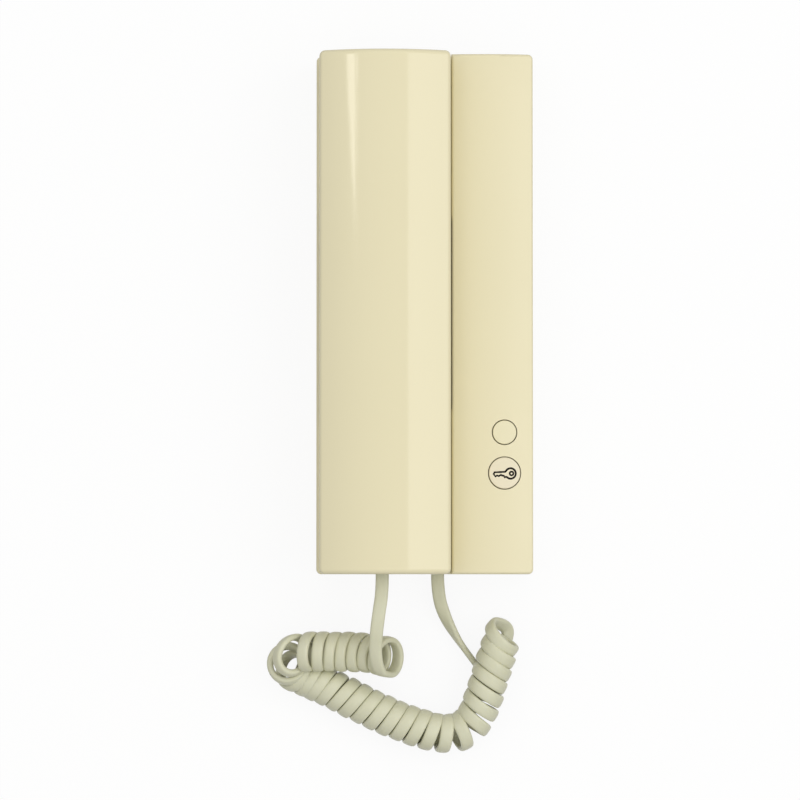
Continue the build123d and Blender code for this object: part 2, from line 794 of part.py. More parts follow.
# Earpiece and microphone, with the posts that hold them down
earpiece_radius = 17.5
earpiece_rim_height = 4
earpiece_rear_radius = 14
earpiece_rear_height = 4
magnet_radius = 7
magnet_height = 2.5
gasket_thickness = 1.4
gasket_width = 4
boot_radius = 7
boot_height = 8
boot_wall = 1.5
boot_floor = 1
microphone_height = 6
hold_gap = 0.3
earpiece_post_radius = 6
earpiece_post_wall = 1.5
microphone_post_radius = 5
cup_floor = cup_bottom + handset_wall
earpiece_bottom = cup_floor + gasket_thickness
earpiece_top = earpiece_bottom + earpiece_rim_height + earpiece_rear_height + magnet_height
boot_top = cup_floor + boot_height

with BuildPart() as handset_outer_shell:
    with BuildSketch(Plane.XZ):
        with BuildLine():
            Polyline((handset_left, handset_side_height), (handset_left, handset_split_height),
                     (handset_right, handset_split_height), (handset_right, handset_side_height))
            ThreePointArc((handset_left, handset_side_height), (handset_middle, handset_crest_height),
                          (handset_right, handset_side_height))
        make_face()
    extrude(amount=body_length / 2, both=True)
    offset(amount=-handset_wall, openings=handset_outer_shell.faces().sort_by(Axis.Z)[0],
           kind=Kind.INTERSECTION)
    outer_ends = handset_outer_shell.faces().sort_by(Axis.Y)
    fillet((outer_ends[0].edges() + outer_ends[-1].edges()).filter_by(Axis.Z), handset_corner_radius)
    fillet(handset_outer_shell.faces().sort_by(Axis.Z)[-1].edges(), handset_edge_radius)
    # screw bosses, and the posts that press on the earpiece and the microphone
    ceiling = handset_crest_height - handset_wall / 2
    with BuildSketch(Plane.XY.offset(boss_meeting)):
        with Locations(handset_screw_points):
            Circle(handset_boss_radius)
    extrude(amount=ceiling - boss_meeting)
    with BuildSketch(Plane.XY.offset(earpiece_top + hold_gap)):
        with Locations(cup_centres[0]):
            Circle(earpiece_post_radius)
            Circle(earpiece_post_radius - earpiece_post_wall, mode=Mode.SUBTRACT)
    extrude(amount=ceiling - earpiece_top - hold_gap)
    with BuildSketch(Plane.XY.offset(boot_top + hold_gap)):
        with Locations(cup_centres[1]):
            Circle(microphone_post_radius)
            Circle(microphone_post_radius - earpiece_post_wall, mode=Mode.SUBTRACT)
    extrude(amount=ceiling - boot_top - hold_gap)
    with BuildSketch(Plane.XY.offset(boss_meeting)):
        with Locations(handset_screw_points):
            Circle(handset_shank_radius + screw_gap)
    extrude(amount=handset_shank_length, mode=Mode.SUBTRACT)

handset_outer_shell.part.label = "handset_outer_shell"
export_step(handset_outer_shell.part, "parts/handset_outer_shell.step")

# Sound holes in the two cups
ear_ring_radii = (4.4, 8.8)
ear_ring_counts = (6, 12)
ear_hole_radius = 1.1
mouth_hole_radius = 0.9
mouth_ring_radius = 3.6
mouth_ring_count = 6

with BuildPart() as handset_inner_shell:
    half_length = body_length / 2
    with BuildSketch(Plane.YZ.offset(handset_middle)) as bridge:
        with BuildLine():
            Polyline((-half_length, handset_split_height), (-half_length, block_height),
                     (-block_end, block_height), (-grip_half_length, grip_height),
                     (grip_half_length, grip_height), (block_end, block_height),
                     (half_length, block_height), (half_length, handset_split_height),
                     (-half_length, handset_split_height))
        make_face()
        bends = [corner for corner in bridge.vertices()
                 if abs(corner.Y if abs(corner.Z) > 0 else corner.X) < half_length - handset_wall]
        fillet(bends, grip_bend_radius)
    extrude(amount=handset_width / 2, both=True)
    offset(amount=-handset_wall, openings=handset_inner_shell.faces().sort_by(Axis.Z)[-1],
           kind=Kind.INTERSECTION)
    outer_ends = handset_inner_shell.faces().sort_by(Axis.Y)
    fillet((outer_ends[0].edges() + outer_ends[-1].edges()).filter_by(Axis.Z), handset_corner_radius)
    # cups under the two ends
    with BuildSketch(Plane.XY.offset(cup_bottom)):
        with Locations(cup_centres):
            RectangleRounded(cup_width, cup_length, cup_corner_radius)
    extrude(amount=cup_depth + handset_wall / 2)
    fillet(handset_inner_shell.faces().sort_by(Axis.Z)[:2].edges(), cup_edge_radius)
    with BuildSketch(Plane.XY.offset(cup_floor)):
        with Locations(cup_centres):
            RectangleRounded(cup_width - 2 * handset_wall, cup_length - 2 * handset_wall,
                             cup_corner_radius - handset_wall)
    extrude(amount=cup_depth + overrun, mode=Mode.SUBTRACT)
    # sound holes
    with BuildSketch(Plane.XY.offset(cup_bottom)):
        with Locations(cup_centres[0]):
            Circle(ear_hole_radius)
            for ring_radius, count in zip(ear_ring_radii, ear_ring_counts):
                with PolarLocations(ring_radius, count):
                    Circle(ear_hole_radius)
        with Locations(cup_centres[1]):
            Circle(mouth_hole_radius)
            with PolarLocations(mouth_ring_radius, mouth_ring_count):
                Circle(mouth_hole_radius)
    extrude(amount=handset_wall + overrun, mode=Mode.SUBTRACT)
    # screw bosses with sunk heads
    with BuildSketch(Plane.XY.offset(grip_height + handset_wall / 2)):
        with Locations(handset_screw_points):
            Circle(handset_boss_radius)
    extrude(amount=boss_meeting - grip_height - handset_wall / 2)
    with BuildSketch(Plane.XY.offset(grip_height)):
        with Locations(handset_screw_points):
            Circle(handset_head_radius + slide_gap)
    extrude(amount=handset_head_sink, mode=Mode.SUBTRACT)
    with BuildSketch(Plane.XY.offset(grip_height)):
        with Locations(handset_screw_points):
            Circle(handset_shank_radius + slide_gap)
    extrude(amount=handset_head_sink + handset_boss_rise + overrun, mode=Mode.SUBTRACT)
    # lip that keys into the outer shell
    lip_width = handset_width - 2 * (handset_wall + lip_gap)
    lip_length = body_length - 2 * (handset_wall + lip_gap)
    with BuildSketch(Plane.XY.offset(handset_split_height - handset_wall)):
        with Locations((handset_middle, 0)):
            Rectangle(lip_width + 2 * lip_gap, lip_length + 2 * lip_gap)
            Rectangle(lip_width - 2 * lip_thickness, lip_length - 2 * lip_thickness,
                      mode=Mode.SUBTRACT)
    extrude(amount=handset_wall)
    with BuildSketch(Plane.XY.offset(handset_split_height)):
        with Locations((handset_middle, 0)):
            Rectangle(lip_width, lip_length)
            Rectangle(lip_width - 2 * lip_thickness, lip_length - 2 * lip_thickness,
                      mode=Mode.SUBTRACT)
    extrude(amount=lip_height)
    # notch for the cord grommet, open to the parting line
    with BuildSketch(Plane.XZ.offset(-base_bottom)):
        with Locations((handset_cord_x, handset_cord_height - grommet_height / 2)):
            Rectangle(grommet_width, grommet_height + handset_wall + lip_height + overrun,
                      align=(Align.CENTER, Align.MIN))
    extrude(amount=-(handset_wall + lip_gap + lip_thickness), mode=Mode.SUBTRACT)
    with BuildSketch(Plane.XZ.offset(-(base_bottom + handset_wall))):
        with Locations((handset_cord_x, handset_cord_height - grommet_height / 2 - grommet_flange)):
            Rectangle(grommet_width + 2 * (grommet_flange + seat_gap),
                      grommet_height + handset_wall + lip_height + overrun,
                      align=(Align.CENTER, Align.MIN))
    extrude(amount=-(seat_gap + grommet_flange + lip_gap), mode=Mode.SUBTRACT)

handset_inner_shell.part.label = "handset_inner_shell"
export_step(handset_inner_shell.part, "parts/handset_inner_shell.step")

with BuildPart() as handset_screws:
    for x, y in handset_screw_points:
        screw(Plane((x, y, head_seat), z_dir=(0, 0, -1)), handset_head_radius, handset_head_height,
              handset_shank_radius, handset_shank_length)

handset_screws.part.label = "handset_screws"
export_step(handset_screws.part, "parts/handset_screws.step")

with BuildPart() as earpiece_gasket:
    with BuildSketch(Plane.XY.offset(cup_floor)):
        with Locations(cup_centres[0]):
            Circle(earpiece_radius)
            Circle(earpiece_radius - gasket_width, mode=Mode.SUBTRACT)
    extrude(amount=gasket_thickness)

earpiece_gasket.part.label = "earpiece_gasket"
export_step(earpiece_gasket.part, "parts/earpiece_gasket.step")

with BuildPart() as earpiece_capsule:
    x, y = cup_centres[0]
    rim_top = earpiece_bottom + earpiece_rim_height
    rear_top = rim_top + earpiece_rear_height
    with BuildSketch(Plane.XZ.offset(-y)):
        with BuildLine():
            Polyline((x, earpiece_bottom), (x + earpiece_radius, earpiece_bottom),
                     (x + earpiece_radius, rim_top), (x + earpiece_rear_radius, rim_top),
                     (x + earpiece_rear_radius, rear_top), (x + magnet_radius, rear_top),
                     (x + magnet_radius, earpiece_top), (x, earpiece_top), (x, earpiece_bottom))
        make_face()
    revolve(axis=Axis((x, y, 0), (0, 0, 1)))

earpiece_capsule.part.label = "earpiece_capsule"
export_step(earpiece_capsule.part, "parts/earpiece_capsule.step")

with BuildPart() as microphone_boot:
    with BuildSketch(Plane.XY.offset(cup_floor)):
        with Locations(cup_centres[1]):
            Circle(boot_radius)
    extrude(amount=boot_height)
    with BuildSketch(Plane.XY.offset(cup_floor + boot_floor)):
        with Locations(cup_centres[1]):
            Circle(boot_radius - boot_wall)
    extrude(amount=boot_height, mode=Mode.SUBTRACT)
    with BuildSketch(Plane.XY.offset(cup_floor)):
        with Locations(cup_centres[1]):
            Circle(mouth_ring_radius)
    extrude(amount=boot_floor, mode=Mode.SUBTRACT)

microphone_boot.part.label = "microphone_boot"
export_step(microphone_boot.part, "parts/microphone_boot.step")

with BuildPart() as microphone_capsule:
    with BuildSketch(Plane.XY.offset(cup_floor + boot_floor)):
        with Locations(cup_centres[1]):
            Circle(boot_radius - boot_wall - screw_gap)
    extrude(amount=microphone_height)
    chamfer(microphone_capsule.faces().sort_by(Axis.Z)[-1].edges(), boot_wall / 3)

microphone_capsule.part.label = "microphone_capsule"
export_step(microphone_capsule.part, "parts/microphone_capsule.step")


# Curly cord. The guide is the line that the curls wind round, from the handset's end to the
# base's end, and the leads are the two straight ends of the same cord.
curl_pitch = 4.9
first_turn_share = 0.25
curl_radius_start = 5.9
curl_radius_end = 5.2
bend_spread = 1.18
steps_per_span = 60
guide_points = [
    (-13.3, -136.8, 13.8), (-22.0, -135.2, 10.4), (-31.0, -134.8, 10.8), (-39.5, -134.6, 15.0),
    (-46.0, -134.8, 18.8), (-52.5, -135.8, 19.4), (-57.6, -139.8, 16.2), (-57.6, -146.6, 10.8),
    (-52.0, -150.6, 7.9), (-45.0, -150.9, 7.8), (-35.0, -153.8, 7.8), (-21.5, -159.7, 7.8),
    (-5.6, -165.1, 7.8), (7.0, -168.2, 7.8), (17.4, -166.6, 8.2), (21.5, -155.0, 9.8),
    (26.0, -144.6, 12.6), (31.6, -125.2, 13.4)]


def smooth_line(points, steps):
    """Places, ways and bends along the smooth line that the points steer."""
    corners = [Vector(*point) for point in points]
    joints = [corners[0]] + [(a + b) / 2 for a, b in zip(corners[1:-2], corners[2:-1])] + [corners[-1]]
    line = []
    for start, corner, end in zip(joints, corners[1:-1], joints[1:]):
        for i in range(steps):
            t = i / steps
            place = start * (1 - t) ** 2 + corner * (2 * t * (1 - t)) + end * t ** 2
            speed = (corner - start) * (2 * (1 - t)) + (end - corner) * (2 * t)
            turn = (end - corner * 2 + start) * 2
            bend = speed.cross(turn).length / speed.length ** 3
            line.append((place, speed.normalized(), bend))
    line.append((joints[-1], (corners[-1] - corners[-2]).normalized(), 0))
    return line


def curl_line(line, start_turn):
    """Points and ways of the left-hand curls round the line, at every quarter turn."""
    lengths = [0]
    for (a, _, _), (b, _, _) in zip(line, line[1:]):
        lengths.append(lengths[-1] + (b - a).length)
    radii = [curl_radius_start + (curl_radius_end - curl_radius_start) * length / lengths[-1]
             for length in lengths]
    turns = [start_turn]
    for i in range(1, len(line)):
        spread = bend_spread * radii[i] * line[i][2]
        turns.append(turns[-1] + (1 - spread) / curl_pitch * (lengths[i] - lengths[i - 1]))

    def place_at(turn):
        i = next(k for k in range(1, len(turns)) if turns[k] >= turn or k == len(turns) - 1)
        share = (turn - turns[i - 1]) / (turns[i] - turns[i - 1])
        centre = line[i - 1][0] * (1 - share) + line[i][0] * share
        way = (line[i - 1][1] * (1 - share) + line[i][1] * share).normalized()
        radius = radii[i - 1] * (1 - share) + radii[i] * share
        up = (Vector(0, 0, 1) - way * way.Z).normalized()
        angle = -2 * math.pi * turn
        return centre + (up * math.cos(angle) + way.cross(up) * math.sin(angle)) * radius

    quarters = 4 * int(turns[-1] - start_turn)
    marks = [start_turn + i / 4 for i in range(quarters + 1)]
    points = [place_at(mark) for mark in marks]
    nudge = 1e-3
    ways = [(place_at(mark + nudge) - place_at(max(mark - nudge, start_turn))).normalized()
            for mark in marks]
    return points, ways, [place_at(start_turn + i / 32) for i in range(8 * quarters + 1)]


def least_gap(points, diameter):
    """The least gap between a tube's own turns, from points along its middle."""
    lengths = [0]
    for a, b in zip(points, points[1:]):
        lengths.append(lengths[-1] + (b - a).length)
    near = 4 * diameter
    return min((a - b).length for i, a in enumerate(points) for j, b in enumerate(points[:i])
               if lengths[i] - lengths[j] > near) - diameter


curl_points, curl_ways, curl_checks = curl_line(smooth_line(guide_points, steps_per_span),
                                                first_turn_share)
print("curls:", round((len(curl_points) - 1) / 4, 2), "least gap to itself:",
      round(least_gap(curl_checks, cord_diameter), 2), "mm")

with BuildPart() as curly_cord:
    wind(curl_points, curl_ways, cord_diameter)

curly_cord.part.label = "curly_cord"
export_step(curly_cord.part, "parts/curly_cord.step")


def lead(name, points):
    """A straight end of the cord: runs joined by tangent arcs, with its radii printed."""
    corners = [Vector(*point) for point in points]
    radii = []
    for a, b, c in zip(corners, corners[1:], corners[2:]):
        turn = math.radians((b - a).get_angle(c - b))
        radii.append(0.45 * min((b - a).length, (c - b).length) / math.tan(turn / 2))
    with BuildLine() as route:
        FilletPolyline(*corners, radius=radii)
    with BuildSketch(Plane(corners[0], z_dir=corners[1] - corners[0])) as section:
        Circle(cord_diameter / 2)
    sweep(section.sketch, path=route.line)
    length = sum(edge.length for edge in route.edges())
    print(name, "length", round(length, 1), "radii", [round(r, 1) for r in radii])
    return math.pi * cord_diameter ** 2 / 4 * length


curl_start = curl_points[0]
curl_end = curl_points[-1]
start_way = curl_ways[0]
end_way = curl_ways[-1]
handset_lead_join = 5
base_lead_rise = 11

with BuildPart() as handset_lead:
    handset_lead_points = [
        (handset_cord_x, base_bottom, handset_cord_height), (-17.0, -113.0, handset_cord_height),
        (-17.6, -122.5, 31.2), (-18.4, -131.8, 27.0), (-18.0, -139.6, 23.4),
        curl_start - start_way * handset_lead_join, curl_start]
    expected = lead("handset lead", handset_lead_points)
    print("handset lead volume", round(handset_lead.part.volume, 1), "expected", round(expected, 1))

handset_lead.part.label = "handset_lead"
export_step(handset_lead.part, "parts/handset_lead.step")

with BuildPart() as base_lead:
    base_lead_points = [
        (cord_exit_x, base_bottom, cord_exit_height), (cord_exit_x, -113.0, cord_exit_height),
        (7.4, -121.5, 4.8), (11.8, -130.0, 2.8), (17.6, -137.2, 2.2), (21.0, -143.6, 2.2),
        (26.6, -144.4, 2.2), (30.4, -139.4, 2.2), curl_end + end_way * base_lead_rise, curl_end]
    expected = lead("base lead", base_lead_points)
    print("base lead volume", round(base_lead.part.volume, 1), "expected", round(expected, 1))

base_lead.part.label = "base_lead"
export_step(base_lead.part, "parts/base_lead.step")
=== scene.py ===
import math
import bpy
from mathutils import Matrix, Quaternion, Vector


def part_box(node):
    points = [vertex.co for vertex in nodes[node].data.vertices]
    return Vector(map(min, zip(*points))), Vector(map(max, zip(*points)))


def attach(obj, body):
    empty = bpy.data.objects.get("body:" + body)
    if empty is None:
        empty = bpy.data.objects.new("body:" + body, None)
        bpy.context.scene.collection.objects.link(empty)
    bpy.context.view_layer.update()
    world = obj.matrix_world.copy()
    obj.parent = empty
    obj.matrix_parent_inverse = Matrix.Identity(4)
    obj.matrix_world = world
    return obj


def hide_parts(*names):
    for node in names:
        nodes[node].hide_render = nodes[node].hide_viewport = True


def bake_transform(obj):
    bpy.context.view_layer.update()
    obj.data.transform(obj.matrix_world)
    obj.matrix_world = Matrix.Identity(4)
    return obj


# Wall intercom with a full-length handset and a curly cord, lying on its back.
# +Z is out of the front, +Y its top, +X the button side. Lengths are in metres, but for the
# key sign's points, which are in millimetres.
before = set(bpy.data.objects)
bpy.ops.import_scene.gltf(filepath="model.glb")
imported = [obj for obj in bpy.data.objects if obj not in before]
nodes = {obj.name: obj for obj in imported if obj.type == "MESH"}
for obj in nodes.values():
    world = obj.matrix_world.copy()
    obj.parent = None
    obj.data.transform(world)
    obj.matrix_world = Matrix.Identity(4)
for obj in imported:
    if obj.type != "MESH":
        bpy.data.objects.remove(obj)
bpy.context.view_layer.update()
bpy.ops.object.select_all(action="DESELECT")
mm = 0.001

# Camera

cameraPlace = {
    "target": (-0.00988, -0.03471, 0.025),
    "distance": 1.8,
    "tilt": 2.226,  # degrees up the set, which puts it straight above the bottom ends
    "lens": 200.65,
    "farLimit": 20,   # past the floor's farthest corner
}
tilt = math.radians(cameraPlace["tilt"])
cameraWay = Vector((0, -math.sin(tilt), math.cos(tilt)))
cameraSpot = Vector(cameraPlace["target"]) + cameraWay * cameraPlace["distance"]
bpy.ops.object.camera_add(location=cameraSpot, rotation=(tilt, 0, 0))
camera = bpy.context.object
camera.data.lens = cameraPlace["lens"]
camera.data.clip_end = cameraPlace["farLimit"]
bpy.context.scene.camera = camera
print("camera set")

# Curly cord: one flat four-wire cord, from the handset's end to the base's end

curlyCord = {
    "leadWidth": 5.3 * mm,
    "thickness": 2.6 * mm,
    "firstRadius": 6.85 * mm,   # of the curls' middle line, at the handset's end
    "lastRadius": 6.6 * mm,
    # share of the coil's length, and the spacing of its curls when straight or the cord's width
    "pitch": [(0, 4.72 * mm), (0.24, 4.8 * mm), (0.31, 4.3 * mm), (0.36, 4.4 * mm),
              (0.44, 5.4 * mm), (1, 5.5 * mm)],
    "width": [(0, 4.62 * mm), (0.24, 4.7 * mm), (0.4, 4.9 * mm), (0.5, 5.3 * mm), (1, 5.3 * mm)],
    "bendSpread": 0.42,         # how far the curls fan open on a bend
    "spreadLimit": 0.8,
    "bendReach": 14,            # guide steps to either side over which a bend is read
    "firstTurn": 0.25,
    "extraTurn": 0.12,          # past a whole number of curls, so the coil ends on its underside
    "stepsPerTurn": 44,
    "sectionPoints": 20,
    "roundness": 2.9,           # exponent of the section's outline, 2 is an ellipse
    "unevenness": 0.014,        # share by which the curls' radius wanders
    "wander": [(2.3, 1, 0), (5.1, 0.6, 1)],   # rate per curl, height and start of its waves
    "splitTurn": 9.25,          # where the piece from the handset's end stops and the cord is split, far out on the left
    # turn from either end (negative is from the last), lean towards the floor, lean to the right
    "lean": [(0, 0.38, 0.0), (4, 0.42, 0.0), (7, 0.65, 0.0), (8.5, 0.6, 0.0), (9.75, 0.1, 0.0),
             (12, 0.0, -0.22), (18, 0.0, -0.22), (21, 0.0, 0.0), (-8, 0.0, -0.12),
             (-5, 0.0, 0.16), (-2, -0.05, 0.24), (-0.5, -0.3, 0.45)],
    "endLean": (-0.32, 0.6),
    "guideDetail": 40,          # points on each span of the guide
    "leadDetail": 24,           # and of the leads
    "handsetJoin": 3 * mm,      # each lead's last steering point lies this far from the curls,
    "baseJoin": 6.2 * mm,       # in line with them
    "smoothBelow": 50,          # degrees between faces
}
guideRoute = [
    (-0.0133, -0.1386, 0.0175), (-0.0220, -0.1368, 0.0150), (-0.0310, -0.1364, 0.0146),
    (-0.0395, -0.1361, 0.0163), (-0.0458, -0.1362, 0.0192), (-0.0520, -0.1369, 0.0208),
    (-0.0558, -0.1388, 0.0180), (-0.0556, -0.1427, 0.0126), (-0.0513, -0.1456, 0.0092),
    (-0.0445, -0.1482, 0.0083), (-0.0360, -0.1522, 0.0083), (-0.0270, -0.1570, 0.0083),
    (-0.0175, -0.1616, 0.0083), (-0.0078, -0.1655, 0.0082), (0.0020, -0.1689, 0.0082),
    (0.0090, -0.1699, 0.0082), (0.0150, -0.1689, 0.0083), (0.0197, -0.1649, 0.0088),
    (0.0230, -0.1583, 0.0103), (0.0260, -0.1488, 0.0122), (0.0320, -0.1290, 0.0132)]


# points along the smooth NURBS line that the route's points steer
def routeLine(name, points, stepsPerSpan):
    curve = bpy.data.curves.new(name, "CURVE")
    curve.dimensions = "3D"
    curve.resolution_u = stepsPerSpan
    spline = curve.splines.new("NURBS")
    spline.points.add(len(points) - 1)
    for point, place in zip(spline.points, points):
        point.co = (*place, 1)
    spline.order_u = 3
    spline.use_endpoint_u = True
    route = bpy.data.objects.new(name, curve)
    bpy.context.scene.collection.objects.link(route)
    line = bpy.data.meshes.new_from_object(route)
    places = [vertex.co.copy() for vertex in line.vertices]
    bpy.data.objects.remove(route)
    bpy.data.meshes.remove(line)
    return places


# value of a table's column at a place along it, eased from row to row
def fromTable(table, at, column=1):
    k = max(j for j in range(len(table) - 1) if table[j][0] <= at)
    part = (at - table[k][0]) / (table[k + 1][0] - table[k][0])
    part = part * part * (3 - 2 * part)
    return table[k][column] + (table[k + 1][column] - table[k][column]) * part


# places, outward ways and widths of the cord in the left-hand curls round the guide line
def curlPlaces(guide):
    ways = [(b - a).normalized() for a, b in zip(guide, guide[1:])]
    ways.append(ways[-1])
    reach = curlyCord["bendReach"]
    lengths = [0.0]
    for a, b in zip(guide, guide[1:]):
        lengths.append(lengths[-1] + (b - a).length)
    shares = [length / lengths[-1] for length in lengths]
    pitches = [fromTable(curlyCord["pitch"], share) for share in shares]
    radii = [curlyCord["firstRadius"] + (curlyCord["lastRadius"] - curlyCord["firstRadius"]) * share
             for share in shares]
    turns = [0.0]
    for i in range(1, len(guide)):
        low, high = max(i - reach, 0), min(i + reach, len(guide) - 1)
        bend = ways[low].angle(ways[high]) / (lengths[high] - lengths[low])
        spread = min(curlyCord["bendSpread"] * radii[i] * bend, curlyCord["spreadLimit"])
        turns.append(turns[-1] + (1 - spread) / pitches[i] * (lengths[i] - lengths[i - 1]))
    # the turns are stretched to the count of curls that ends where the lead meets it
    count = round(turns[-1]) + curlyCord["extraTurn"]
    turns = [turn * count / turns[-1] for turn in turns]
    leans = [(turn if turn >= 0 else count + turn, down, right)
             for turn, down, right in curlyCord["lean"]]
    leans = sorted(leans) + [(count, *curlyCord["endLean"])]
    places, outs, widths = [], [], []
    span = 0
    steps = round(count * curlyCord["stepsPerTurn"])
    for step in range(steps + 1):
        turn = count * step / steps
        while span < len(turns) - 2 and turns[span + 1] < turn:
            span += 1
        share = (turn - turns[span]) / (turns[span + 1] - turns[span])
        centre = guide[span].lerp(guide[span + 1], share)
        way = ways[span].lerp(ways[span + 1], share).normalized()
        axis = (way + Vector((fromTable(leans, turn, 2), 0, -fromTable(leans, turn)))).normalized()
        waves = sum(height * math.sin(turn * rate + start) for rate, height, start in curlyCord["wander"])
        wander = 1 + curlyCord["unevenness"] * waves
        radius = (radii[span] * (1 - share) + radii[span + 1] * share) * wander
        up = (Vector((0, 0, 1)) - axis * axis.z).normalized()
        angle = -2 * math.pi * (turn + curlyCord["firstTurn"])
        out = up * math.cos(angle) + axis.cross(up) * math.sin(angle)
        places.append(centre + out * radius)
        outs.append(out)
        widths.append(fromTable(curlyCord["width"], shares[span]))
    print("curls", count)
    return places, outs, widths


# ways of the flat side along a lead: carried along it, and turned to meet each (share, way) in keys
def carriedOuts(places, keys):
    ways = [(b - a).normalized() for a, b in zip(places, places[1:])]
    ways.append(ways[-1])
    out = (keys[0][1] - ways[0] * keys[0][1].dot(ways[0])).normalized()
    outs = [out]
    for before, after in zip(ways, ways[1:]):
        out = before.rotation_difference(after) @ out
        outs.append((out - after * out.dot(after)).normalized())
    last = len(places) - 1
    twists = []
    for share, goal in keys:
        i = round(share * last)
        goal = (goal - ways[i] * goal.dot(ways[i])).normalized()
        twist = math.atan2(ways[i].dot(outs[i].cross(goal)), outs[i].dot(goal))
        if twists:   # the flat cord looks the same after half a turn, so the shorter twist is taken
            twist += math.pi * round((twists[-1][1] - twist) / math.pi)
        twists.append((i, twist))
    return [Quaternion(way, fromTable(twists, i)) @ out for i, (way, out) in enumerate(zip(ways, outs))]


# the cord's rounded flat section carried along its middle line, closed at both ends
def flatTube(name, places, outs, widths):
    count = curlyCord["sectionPoints"]
    power = 2 / curlyCord["roundness"]
    section = []
    for k in range(count):
        angle = 2 * math.pi * k / count
        c, s = math.cos(angle), math.sin(angle)
        section.append((math.copysign(abs(c) ** power, c), math.copysign(abs(s) ** power, s)))
    vertices, faces = [], []
    for i, (place, out, width) in enumerate(zip(places, outs, widths)):
        way = (places[min(i + 1, len(places) - 1)] - places[max(i - 1, 0)]).normalized()
        out = (out - way * out.dot(way)).normalized()
        side = way.cross(out)
        for across, thick in section:
            vertices.append(place + side * (across * width / 2)
                            + out * (thick * curlyCord["thickness"] / 2))
    for i in range(len(places) - 1):
        for k in range(count):
            m = (k + 1) % count
            faces.append((i * count + k, i * count + m, (i + 1) * count + m, (i + 1) * count + k))
    faces.append(tuple(range(count - 1, -1, -1)))
    faces.append(tuple(range((len(places) - 1) * count, len(places) * count)))
    mesh = bpy.data.meshes.new(name)
    mesh.from_pydata(vertices, [], faces)
    mesh.validate()
    tube = bpy.data.objects.new(name, mesh)
    bpy.context.scene.collection.objects.link(tube)
    bpy.context.view_layer.objects.active = tube
    tube.select_set(True)
    bpy.ops.object.mode_set(mode="EDIT")
    bpy.ops.mesh.select_all(action="SELECT")
    bpy.ops.mesh.normals_make_consistent(inside=False)
    bpy.ops.object.mode_set(mode="OBJECT")
    bpy.ops.object.shade_smooth_by_angle(angle=math.radians(curlyCord["smoothBelow"]))
    tube.select_set(False)
    return tube


def lineLength(places):
    return sum((b - a).length for a, b in zip(places, places[1:]))


curls, curlOuts, curlWidths = curlPlaces(routeLine("curlGuide", guideRoute, curlyCord["guideDetail"]))
startWay = (curls[1] - curls[0]).normalized()
endWay = (curls[-1] - curls[-2]).normalized()
handsetLead = routeLine("handsetLeadRoute", [
    (-0.0170, -0.1050, 0.0336), (-0.0170, -0.1120, 0.0336), (-0.0184, -0.1209, 0.0326),
    (-0.0196, -0.1304, 0.0304), (-0.0198, -0.1388, 0.0268), (-0.0180, -0.1446, 0.0226),
    curls[0] - startWay * curlyCord["handsetJoin"], curls[0]], curlyCord["leadDetail"])
baseLead = routeLine("baseLeadRoute", [
    (0.0054, -0.1050, 0.0075), (0.0055, -0.1130, 0.0075), (0.0082, -0.1220, 0.0054),
    (0.0131, -0.1309, 0.0036), (0.0188, -0.1387, 0.0029), (0.0230, -0.1442, 0.0028),
    (0.0282, -0.1440, 0.0028), (0.0318, -0.1372, 0.0028), (0.0344, -0.1301, 0.0030),
    curls[-1] + endWay * curlyCord["baseJoin"], curls[-1]], curlyCord["leadDetail"])
# both leads' flat sides are worked out from the coil outwards, so they join its curls without a
# twist: the share of the lead from the coil, and where its flat side faces there
flatUp, onEdge = Vector((0, 0, 1)), Vector((0.8, 0.6, 0))
handsetLeadOuts = carriedOuts(handsetLead[::-1],
                              [(0, curlOuts[0]), (0.65, flatUp), (1, flatUp)])[::-1]
baseLeadOuts = carriedOuts(baseLead[::-1], [(0, curlOuts[-1]), (0.45, onEdge), (0.62, onEdge),
                                            (0.97, flatUp), (1, flatUp)])[::-1]
cordPlaces = handsetLead[:-1] + curls + baseLead[-2::-1]
cordOuts = handsetLeadOuts[:-1] + curlOuts + baseLeadOuts[-2::-1]
leadSteps = len(handsetLead) - 1
settle = curlyCord["stepsPerTurn"] // 2   # over half a curl the cord takes its leads' width
lastStep = len(curls) - 1
for i in range(settle):
    share = i / settle
    for end in (i, lastStep - i):
        curlWidths[end] = curlyCord["leadWidth"] + (curlWidths[end] - curlyCord["leadWidth"]) * share
cordWidths = ([curlyCord["leadWidth"]] * leadSteps + curlWidths
              + [curlyCord["leadWidth"]] * (len(baseLead) - 1))
splitTurns = curlyCord["splitTurn"] - curlyCord["firstTurn"]
split = leadSteps + round(splitTurns * curlyCord["stepsPerTurn"])

liftingCord = flatTube("liftingCord", cordPlaces[:split + 1], cordOuts[:split + 1],
                       cordWidths[:split + 1])
restingCord = flatTube("restingCord", cordPlaces[split:], cordOuts[split:], cordWidths[split:])
print("cord wound, middle line", round(lineLength(cordPlaces), 3), "m")


# Materials

# a linear colour from an sRGB hex value
def paint(hexColour):
    channels = [int(hexColour[i:i + 2], 16) / 255 for i in (1, 3, 5)]
    return (*[c / 12.92 if c <= 0.04045 else ((c + 0.055) / 1.055) ** 2.4 for c in channels], 1)


def addNode(tree, kind, settings=None, links=None):
    node = tree.nodes.new(kind)
    for name, value in (settings or {}).items():
        if isinstance(name, int) or name in node.inputs:
            node.inputs[name].default_value = value
        else:
            setattr(node, name, value)
    for name, socket in (links or {}).items():
        tree.links.new(socket, node.inputs[name])
    return node


def startMaterial(name, settings):
    material = bpy.data.materials.new(name)
    material.use_nodes = True
    tree = material.node_tree
    shader = tree.nodes["Principled BSDF"]
    for socket, value in settings.items():
        shader.inputs[socket].default_value = value
    place = addNode(tree, "ShaderNodeTexCoord").outputs["Object"]
    return material, tree, shader, place


